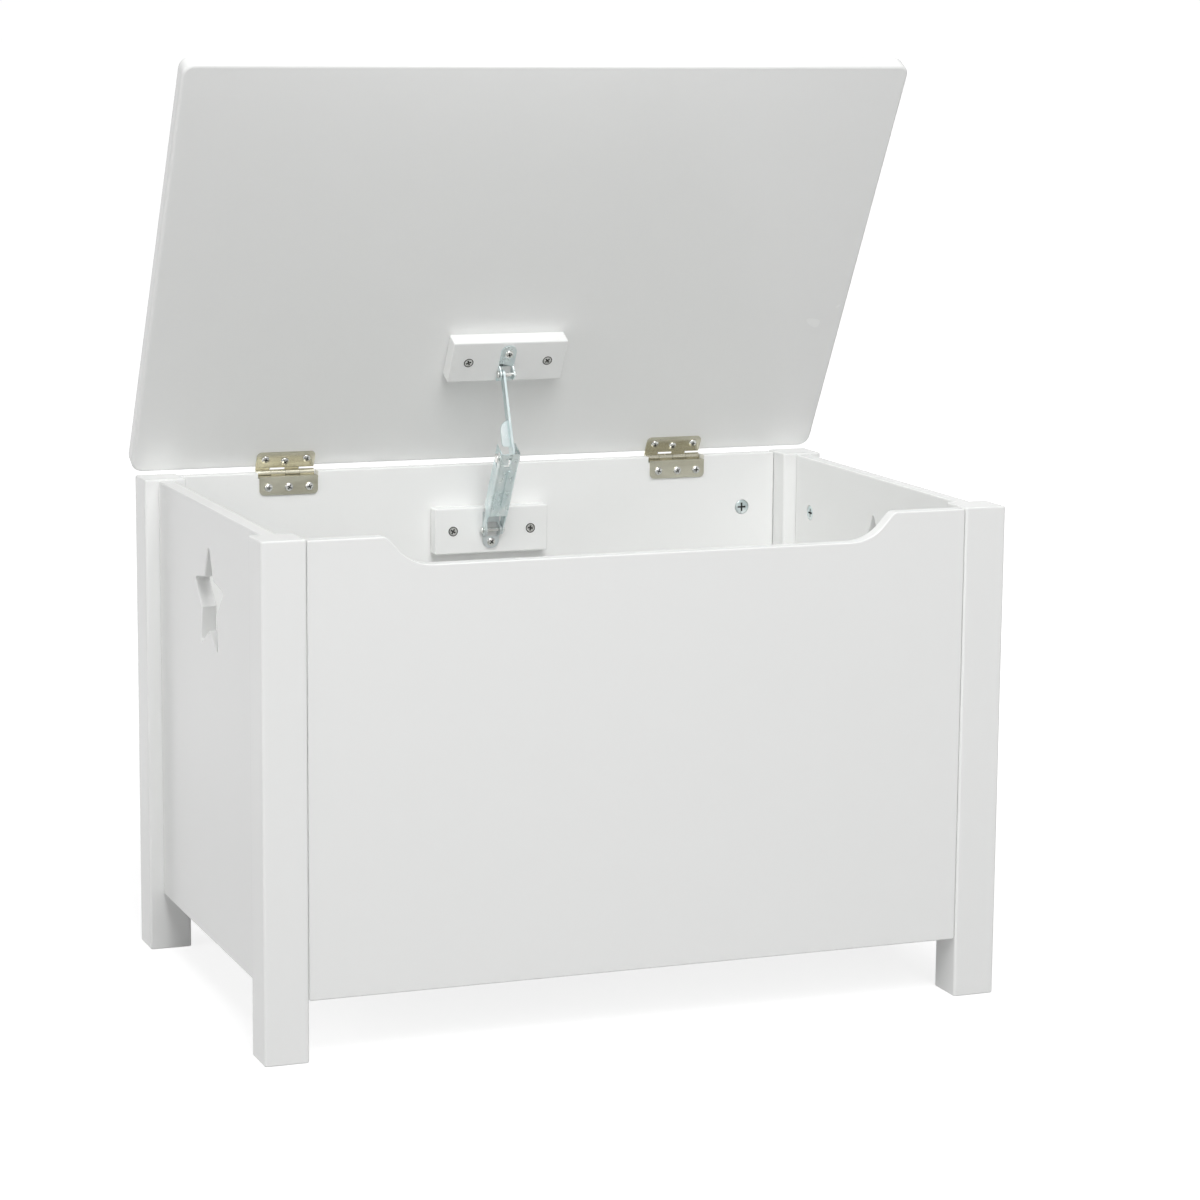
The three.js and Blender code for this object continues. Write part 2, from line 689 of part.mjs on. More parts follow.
// The arm's lower part spreads into a flat shoe that runs between the channel's walls.
function shoeShape() {
  const { half, from, to, offset } = SHOE;
  const left = offset - half;
  const right = offset + half;
  const shape = new THREE.Shape();
  shape.moveTo(-1, from);
  shape.lineTo(1, from);
  shape.quadraticCurveTo(right, from + 3, right, from + 9);
  shape.lineTo(right, to - 2);
  shape.absarc(right - 2, to - 2, 2, 0, Math.PI / 2, false);
  shape.absarc(left + 2, to - 2, 2, Math.PI / 2, Math.PI, false);
  shape.lineTo(left, from + 9);
  shape.quadraticCurveTo(left, from + 3, -1, from);
  return shape;
}

// Leans a solid sideways, so that it runs from the arm's top place in X to its elbow place.
function leanArm(solid, length) {
  const lean = new THREE.Matrix4().makeShear(0, 0, 0, 0, 0, 0);
  lean.elements[8] = (ARM.elbowX - ARM.topX) / length;
  lean.elements[12] = ARM.topX;
  return solid.transform(lean.elements);
}

function addUpperArm() {
  const pivot = lidPivotOpen();
  const { group, length } = linkGroup(pivot, STAY.elbow);
  const shape = new THREE.Shape();
  shape.absarc(0, 0, ARM.top, Math.PI, 0, false);
  shape.lineTo(ARM.waist, length * 0.62);
  shape.lineTo(ARM.bottom, length * 0.86);
  shape.absarc(0, length, ARM.bottom, 0, Math.PI, false);
  shape.lineTo(-ARM.bottom, length * 0.86);
  shape.lineTo(-ARM.waist, length * 0.62);
  const bar = sidePrism(shape, ARM.thickness, -ARM.thickness / 2, 8);
  const blank = bar.add(uprightPrism(shoeShape(), ARM.thickness, -ARM.thickness / 2));
  const bores = [
    barX(STAY.pin + GAP, -5, 5, 0, 0, 16),
    barX(STAY.elbowPin + GAP, -5, 5, 0, length, 16),
  ];
  place('stay_upper_arm', leanArm(cut(blank, bores), length), zinc, group);

  const earOutside = UPPER_BRACKET.half + GAP;
  const topPin = stayPin([[STAY.pin, earOutside], [3, earOutside + 1.1]]);
  place('stay_upper_pin', topPin, bright, group);

  const flangeOutside = STAY.channelHalf + GAP;
  const elbowPin = stayPin([[STAY.elbowPin, flangeOutside], [4, flangeOutside + 1.2]]);
  place('stay_elbow_pin', elbowPin.translate([0, 0, length]), bright, group);
}

// The side of the channel seen along X: a narrow ear up from its pivot, then the full depth to its top.
function flangeShape() {
  const { earRadius, channelFront, channelRear, channelFoot, channelTop } = STAY;
  const shape = new THREE.Shape();
  shape.absarc(0, 0, earRadius, Math.PI, 0, false);
  shape.lineTo(earRadius, channelFoot - 4);
  shape.lineTo(channelRear, channelFoot);
  shape.lineTo(channelRear, channelTop);
  shape.lineTo(channelFront, channelTop);
  shape.lineTo(channelFront, channelFoot);
  shape.lineTo(-earRadius, channelFoot - 4);
  return shape;
}

// The slot that the elbow pin slides in as the stay folds.
function elbowSlot(length) {
  const { slotDrop, slotHalf, slotRadius, channelHalf } = STAY;
  const middle = length - slotDrop;
  const shape = new THREE.Shape();
  shape.absarc(0, middle - slotHalf, slotRadius, Math.PI, 0, false);
  shape.absarc(0, middle + slotHalf, slotRadius, 0, Math.PI, false);
  return sidePrism(shape, 2 * channelHalf + 4, -channelHalf - 2, 8);
}

// The J-shaped slit at the top of the channel's web.
function webSlit() {
  const { channelTop, channelFront, sheet } = STAY;
  const front = channelFront - 1;
  const back = channelFront + sheet + 1;
  const stem = brick([-1.3, front, channelTop - 11], [1.3, back, channelTop + 1]);
  return stem.add(brick([-4.2, front, channelTop - 13], [1.3, back, channelTop - 10.6]));
}

// The channel's section: two walls and a front web, folded from one sheet, open behind.
function channelSection() {
  const { channelHalf, channelFront, channelRear, sheet, bend } = STAY;
  const inner = channelHalf - sheet;
  const bendX = channelHalf - bend;
  const bendY = channelFront + bend;
  const tight = bend - sheet;
  const shape = new THREE.Shape();
  shape.moveTo(-channelHalf, channelRear);
  shape.absarc(-bendX, bendY, bend, Math.PI, Math.PI * 1.5, false);
  shape.absarc(bendX, bendY, bend, -Math.PI / 2, 0, false);
  shape.lineTo(channelHalf, channelRear);
  shape.lineTo(inner, channelRear);
  shape.absarc(bendX, bendY, tight, 0, -Math.PI / 2, true);
  shape.absarc(-bendX, bendY, tight, Math.PI * 1.5, Math.PI, true);
  shape.lineTo(-inner, channelRear);
  return shape;
}

// A long raised rib that stiffens the web.
function webRib() {
  const { channelFront, sheet } = STAY;
  const shape = roundedRectangle(4.4, 40, 2.1);
  return uprightPrism(shape, 0.9 + sheet / 2, channelFront - 0.9).translate([1.8, 0, 47]);
}

function addChannelArm() {
  const { group, length } = linkGroup(STAY.wallPivot, STAY.elbow);
  const { channelHalf, channelTop, earRadius } = STAY;
  const folded = prism(channelSection(), channelTop + 2 * earRadius, 5).translate([0, 0, -1.5 * earRadius]);
  const outline = sidePrism(flangeShape(), 2 * channelHalf + 2, -channelHalf - 1, 8);
  const bore = barX(STAY.pin + GAP, -channelHalf - 1, channelHalf + 1, 0, 0, 16);
  const blank = folded.intersect(outline).add(webRib());
  place('stay_channel_arm', cut(blank, [bore, elbowSlot(length), webSlit()]), zinc, group);

  const outside = channelHalf + GAP;
  const lowerPin = stayPin([[STAY.pin, outside], [3, outside + 1.1]]);
  place('stay_lower_pin', lowerPin.translate([STAY.x, STAY.wallPivot.y, STAY.wallPivot.z]), bright);
}

// ---------- the whole box ----------

addPosts();
addFrontPanel();
addBackPanel();
addSidePanel('left', -1);
addSidePanel('right', 1);
addFloor();
addCamFittings();
addLid();
addHinge('left', -1);
addHinge('right', 1);
addBlocks();
addBrackets();
addUpperArm();
addChannelArm();

// The origin is the middle of the whole box's footprint with its lid open.
const wholeBox = new THREE.Box3().setFromObject(toyBox, true);
const root = new THREE.Group();
toyBox.position.y = -(wholeBox.min.y + wholeBox.max.y) / 2;
root.add(toyBox);

export default root;
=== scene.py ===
"""A white wooden toy box with its lid held open by a folding stay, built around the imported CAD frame."""

import json
import math

import bmesh
import bpy
from mathutils import Matrix, Vector


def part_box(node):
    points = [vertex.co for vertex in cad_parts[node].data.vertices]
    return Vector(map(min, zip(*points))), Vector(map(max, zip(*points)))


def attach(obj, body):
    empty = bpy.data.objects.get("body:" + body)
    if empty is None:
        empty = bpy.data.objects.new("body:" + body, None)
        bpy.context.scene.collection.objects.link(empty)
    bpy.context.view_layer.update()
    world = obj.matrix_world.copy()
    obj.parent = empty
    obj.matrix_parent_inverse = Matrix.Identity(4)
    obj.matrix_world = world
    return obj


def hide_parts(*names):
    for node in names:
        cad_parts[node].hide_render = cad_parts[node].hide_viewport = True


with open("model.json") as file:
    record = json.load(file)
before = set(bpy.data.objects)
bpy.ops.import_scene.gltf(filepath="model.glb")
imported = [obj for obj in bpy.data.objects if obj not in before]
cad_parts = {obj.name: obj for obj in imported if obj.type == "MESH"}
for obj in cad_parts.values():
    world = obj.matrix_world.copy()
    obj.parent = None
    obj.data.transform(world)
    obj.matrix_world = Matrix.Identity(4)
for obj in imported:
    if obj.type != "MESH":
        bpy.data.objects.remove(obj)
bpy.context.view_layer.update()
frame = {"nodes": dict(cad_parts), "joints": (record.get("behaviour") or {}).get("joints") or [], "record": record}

MM = 0.001
NODES = frame["nodes"]
RECORD = frame["record"]
BODY_OF = {n: body for body, nodes in RECORD["behaviour"]["bodies"].items() for n in nodes}
SLOT_OF = {part["node"]: part["material_slot"] for part in RECORD["subparts"]}
JOINTS = {joint["name"]: joint for joint in frame["joints"]}
PIVOT = {name: Vector(joint["pos_m"]) for name, joint in JOINTS.items()}

# ---------- places: frames whose own Z points out of the face that a piece shows ----------

QUARTER = math.pi / 2
LID_OPEN = math.radians(JOINTS["lid_hinge"]["range_deg"][1])
UP = Matrix()
FRONTWARDS = Matrix.Rotation(QUARTER, 4, "X")
BACKWARDS = Matrix.Rotation(-QUARTER, 4, "X")
RIGHTWARDS = Matrix(((0, 0, 1, 0), (1, 0, 0, 0), (0, 1, 0, 0), (0, 0, 0, 1)))
LEFTWARDS = Matrix(((0, 0, -1, 0), (-1, 0, 0, 0), (0, 1, 0, 0), (0, 0, 0, 1)))
LID = Matrix.Translation(PIVOT["lid_hinge"]) @ Matrix.Rotation(-LID_OPEN, 4, "X")
LID_UNDER = LID @ Matrix.Rotation(math.pi, 4, "X")


def local_box(node, place):
    """Lowest and highest corner of a CAD node, seen in a place's own axes."""
    inverse = place.inverted()
    points = [inverse @ vertex.co for vertex in NODES[node].data.vertices]
    low = Vector([min(point[axis] for point in points) for axis in range(3)])
    high = Vector([max(point[axis] for point in points) for axis in range(3)])
    return low, high


# ---------- materials ----------

LACQUER_TINTS = ((0.918, 0.924, 0.914), (0.930, 0.935, 0.926))
LACQUER_GLOSS = (0.23, 0.29)
NICKEL_TINTS = ((0.56, 0.535, 0.43), (0.66, 0.64, 0.53))
NICKEL_GLOSS = (0.15, 0.26)
ZINC_TINTS = ((0.66, 0.76, 0.77), (0.80, 0.86, 0.86))
ZINC_GLOSS = (0.22, 0.42)
BRIGHT_TINTS = ((0.66, 0.66, 0.64), (0.80, 0.80, 0.78))
BRIGHT_GLOSS = (0.12, 0.25)
# painted shade: the near-black colour given to screw and cam recesses, standing in for the shade inside them
RECESS_PAINTED_SHADE_TINTS = ((0.05, 0.055, 0.05), (0.12, 0.12, 0.11))
RECESS_PAINTED_SHADE_GLOSS = (0.45, 0.6)

# noise scales, in cells to the metre: a cloud wanders in tone, a sheen in gloss, a grain is relief
LACQUER_CLOUD = 3
LACQUER_SHEEN = 5
LACQUER_PEEL = 420
LACQUER_PEEL_STRENGTH = 0.04
LACQUER_PEEL_DEPTH = 0.15 * MM
LACQUER_IOR = 1.5
METAL_CLOUD = 90
METAL_SHEEN = 260
METAL_GRAIN_STRENGTH = 0.12
METAL_GRAIN_DEPTH = 0.05 * MM
NICKEL_GRAIN = 900
ZINC_GRAIN = 1200
BRIGHT_GRAIN = 1500
# noise for the painted recess shade
RECESS_PAINTED_SHADE_CLOUD = 700
RECESS_PAINTED_SHADE_SHEEN = 900
ALONG_X = (0.3, 1, 1)
ALONG_Z = (1, 1, 0.4)
EVERY_WAY = (1, 1, 1)

# the part of a noise's 0 to 1 that a ramp is spread over
TINT_SPAN = (0.35, 0.65)
GLOSS_SPAN = (0.3, 0.7)
WHOLE_SPAN = (0.0, 1.0)


class Nodes:
    """A material's node tree, with short calls for the few node kinds used here."""

    def __init__(self, name):
        self.material = bpy.data.materials.new(name)
        self.material.use_nodes = True
        self.tree = self.material.node_tree
        self.shader = self.tree.nodes["Principled BSDF"]
        self.position = self.add("ShaderNodeTexCoord").outputs["Object"]

    def add(self, kind):
        return self.tree.nodes.new(kind)

    def link(self, source, target):
        self.tree.links.new(source, target)

    def noise(self, scale, detail=3.0, stretch=EVERY_WAY):
        mapping = self.add("ShaderNodeMapping")
        mapping.inputs["Scale"].default_value = stretch
        self.link(self.position, mapping.inputs["Vector"])
        noise = self.add("ShaderNodeTexNoise")
        noise.inputs["Scale"].default_value = scale
        noise.inputs["Detail"].default_value = detail
        self.link(mapping.outputs["Vector"], noise.inputs["Vector"])
        return noise.outputs["Fac"]

    def tint(self, factor, tints, span=TINT_SPAN):
        ramp = self.add("ShaderNodeValToRGB")
        ramp.color_ramp.elements[0].position = span[0]
        ramp.color_ramp.elements[1].position = span[1]
        for element, tint in zip(ramp.color_ramp.elements, tints):
            element.color = (*tint, 1)
        self.link(factor, ramp.inputs["Fac"])
        self.link(ramp.outputs["Color"], self.shader.inputs["Base Color"])

    def gloss(self, factor, roughness, span=GLOSS_SPAN):
        spread = self.add("ShaderNodeMapRange")
        spread.inputs["From Min"].default_value = span[0]
        spread.inputs["From Max"].default_value = span[1]
        spread.inputs["To Min"].default_value = roughness[0]
        spread.inputs["To Max"].default_value = roughness[1]
        self.link(factor, spread.inputs["Value"])
        self.link(spread.outputs["Result"], self.shader.inputs["Roughness"])

    def bump(self, height, strength, distance):
        bump = self.add("ShaderNodeBump")
        bump.inputs["Strength"].default_value = strength
        bump.inputs["Distance"].default_value = distance
        self.link(height, bump.inputs["Height"])
        self.link(bump.outputs["Normal"], self.shader.inputs["Normal"])


def lacquer():
    """Sprayed white paint on smooth board: satin, with a faint orange peel."""
    made = Nodes("white_lacquer")
    made.tint(made.noise(LACQUER_CLOUD, detail=4), LACQUER_TINTS, WHOLE_SPAN)
    made.gloss(made.noise(LACQUER_SHEEN, detail=4), LACQUER_GLOSS, WHOLE_SPAN)
    made.bump(made.noise(LACQUER_PEEL, detail=2), LACQUER_PEEL_STRENGTH, LACQUER_PEEL_DEPTH)
    made.shader.inputs["IOR"].default_value = LACQUER_IOR
    return made.material


def plated_metal(name, tints, gloss, grain, stretch):
    """Plated steel whose tone and gloss wander slightly, with a fine grain."""
    made = Nodes(name)
    made.shader.inputs["Metallic"].default_value = 1
    made.tint(made.noise(METAL_CLOUD, detail=1, stretch=stretch), tints)
    made.gloss(made.noise(METAL_SHEEN, stretch=stretch), gloss)
    made.bump(made.noise(grain, detail=4, stretch=stretch), METAL_GRAIN_STRENGTH, METAL_GRAIN_DEPTH)
    return made.material


def painted_shade_metal():
    """Painted shade for a screwdriver recess: dark steel standing in for the shade inside it."""
    made = Nodes("recess_painted_shade")
    made.shader.inputs["Metallic"].default_value = 1
    made.tint(made.noise(RECESS_PAINTED_SHADE_CLOUD), RECESS_PAINTED_SHADE_TINTS)
    made.gloss(made.noise(RECESS_PAINTED_SHADE_SHEEN), RECESS_PAINTED_SHADE_GLOSS)
    return made.material


# painted shade, given to recess faces and to the outer ring of countersunk heads
PAINTED_RECESS_SHADE = painted_shade_metal()
MATERIALS = {
    "white_lacquer": lacquer(),
    "nickel_steel": plated_metal("nickel_steel", NICKEL_TINTS, NICKEL_GLOSS, NICKEL_GRAIN, ALONG_X),
    "zinc_steel": plated_metal("zinc_steel", ZINC_TINTS, ZINC_GLOSS, ZINC_GRAIN, ALONG_Z),
    "bright_steel": plated_metal("bright_steel", BRIGHT_TINTS, BRIGHT_GLOSS, BRIGHT_GRAIN, EVERY_WAY),
}

# ---------- mesh helpers ----------

WELD = 0.004 * MM
SHARP_ANGLE = math.radians(42)
FLAT_ANGLE = math.radians(0.8)
EDGE_STEPS = 3
EASE_STEPS = 2
ROUND_PROFILE = 0.5
TURN_STEPS = 40
FLAT_FACE_WEIGHT = 100


def new_object(name, mesh):
    made = bpy.data.objects.new(name, mesh)
    bpy.context.scene.collection.objects.link(made)
    return made


def evaluated_mesh(source):
    """The source object's final mesh, with the object itself taken away."""
    graph = bpy.context.evaluated_depsgraph_get()
    graph.update()
    mesh = bpy.data.meshes.new_from_object(source.evaluated_get(graph))
    bpy.data.objects.remove(source)
    return mesh


def clean(mesh):
    """Welds a mesh's doubled points and turns its faces outwards."""
    work = bmesh.new()
    work.from_mesh(mesh)
    bmesh.ops.remove_doubles(work, verts=work.verts, dist=WELD)
    bmesh.ops.recalc_face_normals(work, faces=work.faces)
    work.to_mesh(mesh)
    work.free()
    return mesh


def stand_in(name, mesh, node, place=UP):
    """A finished piece that takes a CAD node's body, slot and place in the object."""
    mesh.shade_smooth()
    mesh.set_sharp_from_angle(angle=SHARP_ANGLE)
    piece = new_object(name, mesh)
    piece.matrix_world = place
    mesh.materials.append(MATERIALS[SLOT_OF[node]])
    # a second slot holds the painted recess shade
    if any(face.material_index for face in mesh.polygons):
        mesh.materials.append(PAINTED_RECESS_SHADE)
    weighted = piece.modifiers.new("even_shading", "WEIGHTED_NORMAL")
    weighted.keep_sharp = True
    weighted.weight = FLAT_FACE_WEIGHT
    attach(piece, BODY_OF[node])
    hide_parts(node)
    return piece


def slab_mesh(name, loops, thickness, edge):
    """A flat board from closed outlines, its rim and the rims of its holes rounded, centred on Z."""
    curve = bpy.data.curves.new(name, "CURVE")
    curve.dimensions = "2D"
    curve.fill_mode = "BOTH"
    curve.extrude = thickness / 2 - edge
    curve.bevel_depth = edge
    curve.bevel_resolution = EDGE_STEPS
    curve.offset = -edge
    for loop in loops:
        spline = curve.splines.new("POLY")
        spline.points.add(len(loop) - 1)
        for point, (u, v) in zip(spline.points, loop):
            point.co = (u, v, 0, 1)
        spline.use_cyclic_u = True
    return clean(evaluated_mesh(new_object(name, curve)))


def turned_mesh(name, profile):
    """A turned solid about Z from (radius, z) points that start and end on the axis."""
    work = bmesh.new()
    points = [work.verts.new((radius, 0, z)) for radius, z in profile]
    edges = [work.edges.new(pair) for pair in zip(points, points[1:])]
    bmesh.ops.spin(work, geom=points + edges, axis=(0, 0, 1), steps=TURN_STEPS, angle=math.tau)
    bmesh.ops.remove_doubles(work, verts=work.verts, dist=WELD)
    bmesh.ops.recalc_face_normals(work, faces=work.faces)
    mesh = bpy.data.meshes.new(name)
    work.to_mesh(mesh)
    work.free()
    return mesh


def carve(mesh, cutters, place=UP):
    """The mesh with each cutter mesh taken out of it."""
    body = new_object("carved", mesh)
    body.matrix_world = place
    tools = []
    for cutter, cutter_place in cutters:
        tool = new_object("cutter", cutter)
        tool.matrix_world = cutter_place
        cut = body.modifiers.new("cut", "BOOLEAN")
        cut.operation = "DIFFERENCE"
        cut.solver = "EXACT"
        cut.object = tool
        tools.append(tool)
    result = clean(evaluated_mesh(body))
    for tool in tools:
        bpy.data.objects.remove(tool)
    return result


def block_mesh(low, high):
    """A plain six-sided cutter between two corners."""
    work = bmesh.new()
    bmesh.ops.create_cube(work, size=1)
    size = Vector(high) - Vector(low)
    centre = (Vector(high) + Vector(low)) / 2
    bmesh.ops.scale(work, vec=size, verts=work.verts)
    bmesh.ops.translate(work, vec=centre, verts=work.verts)
    mesh = bpy.data.meshes.new("block")
    work.to_mesh(mesh)
    work.free()
    return mesh


def cad_copy(node):
    """A copy of a CAD node's shape as it is, standing for that node."""
    return stand_in(node + "_piece", NODES[node].data.copy(), node)


def refine(node, width):
    """A copy of a CAD node's shape with every corner eased, standing for that node."""
    work = bmesh.new()
    work.from_mesh(NODES[node].data)
    bmesh.ops.remove_doubles(work, verts=work.verts, dist=WELD)
    bmesh.ops.dissolve_limit(work, angle_limit=FLAT_ANGLE, verts=work.verts, edges=work.edges)
    corners = [edge for edge in work.edges if edge.is_manifold and edge.calc_face_angle() > SHARP_ANGLE]
    bmesh.ops.bevel(
        work,
        geom=corners,
        offset=width,
        offset_type="OFFSET",
        segments=EASE_STEPS,
        profile=ROUND_PROFILE,
        affect="EDGES",
        clamp_overlap=True,
    )
    mesh = bpy.data.meshes.new(node)
    work.to_mesh(mesh)
    work.free()
    return stand_in(node + "_piece", mesh, node)


# ---------- outlines, in metres ----------

ARC_STEPS = 6


def arc(centre, radius, start, end, steps=ARC_STEPS):
    angles = [start + (end - start) * step / steps for step in range(steps + 1)]
    return [(centre[0] + radius * math.cos(a), centre[1] + radius * math.sin(a)) for a in angles]


def rectangle(width, height, radius):
    """A rectangle about the origin with rounded corners."""
    u = width / 2 - radius
    v = height / 2 - radius
    corners = ((u, -v), (u, v), (-u, v), (-u, -v))
    loop = []
    for index, corner in enumerate(corners):
        start = (index - 1) * QUARTER
        loop += arc(corner, radius, start, start + QUARTER)
    return loop


# ---------- boards ----------

POST_CORNER = 2.2 * MM
POST_EDGE = 1.4 * MM
PANEL_EDGE = 1.1 * MM
PANEL_CORNER = 1.6 * MM
LID_EDGE = 2.6 * MM
LID_CORNER = 10 * MM
BLOCK_EDGE = 1.3 * MM
BLOCK_CORNER = 1.5 * MM


def board(node, place, loops, edge, cutters=()):
    """A board where a CAD node is, from outlines about its middle in the place's own X and Y."""
    low, high = local_box(node, place)
    middle = place @ Matrix.Translation((low + high) / 2)
    mesh = slab_mesh(node, loops, high.z - low.z, edge)
    if cutters:
        inverse = middle.inverted()
        mesh = carve(mesh, [(cutter, inverse @ spot) for cutter, spot in cutters])
    return stand_in(node + "_board", mesh, node, middle)


def plain_board(node, place, corner, edge):
    low, high = local_box(node, place)
    return board(node, place, [rectangle(high.x - low.x, high.y - low.y, corner)], edge)


# ---------- cam fittings ----------

CAM_RADIUS = 6 * MM
CAM_DEPTH = 9 * MM
CAM_GAP = 0.3 * MM
CAM_SUNK = 0.25 * MM
CAM_WALL_TOP = 0.7 * MM
CAM_SHOULDER_IN = 0.15 * MM
CAM_SHOULDER_DOWN = 0.45 * MM
CAM_RING_OUTER = 0.5 * MM
CAM_RING_INNER = 1.1 * MM
CAM_DISH_IN = 1.5 * MM
CAM_DISH_DEPTH = 0.35 * MM
CAM_RECESS_REACH = 0.55
CAM_HOLE_LIP = 0.35 * MM
CUTTER_OVERSHOOT = 1 * MM
RECESS_STEP = 0.3 * MM
HAIR = 0.01 * MM
STEEP = 0.5
CAM_CROSS = {"length": 7.4 * MM, "width": 1.5 * MM, "depth": 2.6 * MM}
CAM_FACING = {"front": BACKWARDS, "back": FRONTWARDS, "left": RIGHTWARDS, "right": LEFTWARDS}


def cam_nodes(panel):
    return [node for node in NODES if node.startswith(f"cam_fitting_{panel}_panel_")]


def cam_place(node):
    """Where a cam's disc sits, its own Z out of the panel's inner face."""
    low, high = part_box(node)
    _, _, panel, _, end, _ = node.split("_")
    spot = (low + high) / 2
    along = 0 if panel in ("front", "back") else 1
    starts_low = end in ("right", "back")
    spot[along] = low[along] + CAM_RADIUS if starts_low else high[along] - CAM_RADIUS
    across = 1 - along
    faces_high = panel in ("front", "left")
    spot[across] = high[across] if faces_high else low[across]
    return Matrix.Translation(spot) @ CAM_FACING[panel]


def cross_cutters(length, width, depth, top):
    """Two crossed bars that sink a screwdriver recess below a top."""
    half = length / 2
    thin = width / 2
    bar = block_mesh((-half, -thin, top - depth), (half, thin, top + depth))
    other = block_mesh((-thin, -half, top - depth), (thin, half, top + depth))
    return [(bar, UP), (other, UP)]


def paint_recess_shade(mesh, reach, top):
    """Gives the second material, the painted recess shade, to a recess: its walls, and its floor a step down, near
    the axis.
    """
    for face in mesh.polygons:
        near = math.hypot(face.center.x, face.center.y) < reach
        inside = abs(face.normal.z) < STEEP or face.center.z < top - RECESS_STEP
        face.material_index = int(near and inside and face.center.z < top)
    return mesh


def cam_mesh():
    rim = CAM_RADIUS
    dish = -CAM_SUNK - CAM_DISH_DEPTH
    profile = [
        (0, -CAM_DEPTH),
        (rim, -CAM_DEPTH),
        (rim, -CAM_WALL_TOP),
        (rim - CAM_SHOULDER_IN, -CAM_SHOULDER_DOWN),
        (rim - CAM_RING_OUTER, -CAM_SUNK),
        (rim - CAM_RING_INNER, -CAM_SUNK),
        (rim - CAM_DISH_IN, dish),
        (0, dish),
    ]
    cam = carve(turned_mesh("cam", profile), cross_cutters(top=-CAM_SUNK, **CAM_CROSS))
    # the cross recess gets painted shade
    return paint_recess_shade(cam, CAM_RECESS_REACH * CAM_CROSS["length"], dish - HAIR)


def cam_hole():
    radius = CAM_RADIUS + CAM_GAP
    return turned_mesh("cam_hole", [
        (0, -CAM_DEPTH - CAM_GAP),
        (radius, -CAM_DEPTH - CAM_GAP),
        (radius, -CAM_HOLE_LIP),
        (radius + CAM_HOLE_LIP, 0),
        (radius + CAM_HOLE_LIP, CUTTER_OVERSHOOT),
        (0, CUTTER_OVERSHOOT),
    ])


def cam_cutters(panel):
    return [(cam_hole(), cam_place(node)) for node in cam_nodes(panel)]


def add_cams():
    shared = cam_mesh()
    for panel in CAM_FACING:
        for node in cam_nodes(panel):
            stand_in(node + "_disc", shared.copy(), node, cam_place(node))


# ---------- panels ----------

SCOOP = {"drop": 22 * MM, "half": 168.5 * MM, "wide": 37 * MM, "tight": 6 * MM, "slope": math.radians(48)}
STAR = {"z": 316.5 * MM, "tip": 45 * MM, "waist": 22.5 * MM, "rounding": 6.2 * MM}
STAR_POINTS = 5
STAR_TIP_STEPS = 5
STAR_EDGE = 1.2 * MM
SCOOP_WIDE_STEPS = 14
SCOOP_TIGHT_STEPS = 8
FLOOR_PANEL_EASE = 0.4 * MM
NOTCH_SIDE_GAP = 0.7 * MM
NOTCH_OVERSHOOT = 5 * MM
HINGE_NOTCH = {"half": 25.7 * MM, "depth": 4.9 * MM, "barrel": 4.0 * MM}


def scooped_loop(width, height):
    """A panel's outline with a long shallow scoop in its top edge."""
    half, wide, tight, slope = SCOOP["half"], SCOOP["wide"], SCOOP["tight"], SCOOP["slope"]
    top = height / 2
    low = top - SCOOP["drop"]
    straight = SCOOP["drop"] - (wide + tight) * (1 - math.cos(slope))
    end = half + (wide + tight) * math.sin(slope) + straight / math.tan(slope)
    rise = arc((half, low + wide), wide, -QUARTER, slope - QUARTER, SCOOP_WIDE_STEPS)
    rise += arc((end, top - tight), tight, QUARTER + slope, QUARTER, SCOOP_TIGHT_STEPS)
    left = [(-u, v) for u, v in rise]
    corners = rectangle(width, height, PANEL_CORNER)
    quarter = len(corners) // 4
    lower_right, upper_right = corners[:quarter], corners[quarter:2 * quarter]
    upper_left, lower_left = corners[2 * quarter:3 * quarter], corners[3 * quarter:]
    return lower_right + upper_right + rise[::-1] + left + upper_left + lower_left


def star_loop(centre_v):
    """A five-pointed star, one tip up, its tips rounded off."""
    loop = []
    step_angle = math.pi / STAR_POINTS

    def corner(index):
        radius = STAR["waist"] if index % 2 else STAR["tip"]
        angle = QUARTER - index * step_angle
        return Vector((radius * math.cos(angle), radius * math.sin(angle)))

    for index in range(0, 2 * STAR_POINTS, 2):
        tip = corner(index)
        before = corner(index - 1)
        after = corner(index + 1)
        enter = tip + (before - tip).normalized() * STAR["rounding"]
        leave = tip + (after - tip).normalized() * STAR["rounding"]
        for step in range(STAR_TIP_STEPS + 1):
            t = step / STAR_TIP_STEPS
            point = enter * (1 - t) ** 2 + tip * 2 * t * (1 - t) + leave * t * t
            loop.append((point.x, point.y + centre_v))
        loop.append((after.x, after.y + centre_v))
    return loop


def add_front_panel():
    low, high = local_box("front_panel", FRONTWARDS)
    loops = [scooped_loop(high.x - low.x, high.y - low.y)]
    board("front_panel", FRONTWARDS, loops, PANEL_EDGE, cam_cutters("front"))


def notched_loop(width, height, centres):
    """A panel's outline with a square notch in its top edge for each hinge."""
    corners = rectangle(width, height, PANEL_CORNER)
    quarter = len(corners) // 4
    top = height / 2
    floor = top - HINGE_NOTCH["depth"]
    notches = []
    for centre in sorted(centres, reverse=True):
        right = centre + HINGE_NOTCH["half"]
        left = centre - HINGE_NOTCH["half"]
        notches += [(right, top), (right, floor), (left, floor), (left, top)]
    return corners[:2 * quarter] + notches + corners[2 * quarter:]


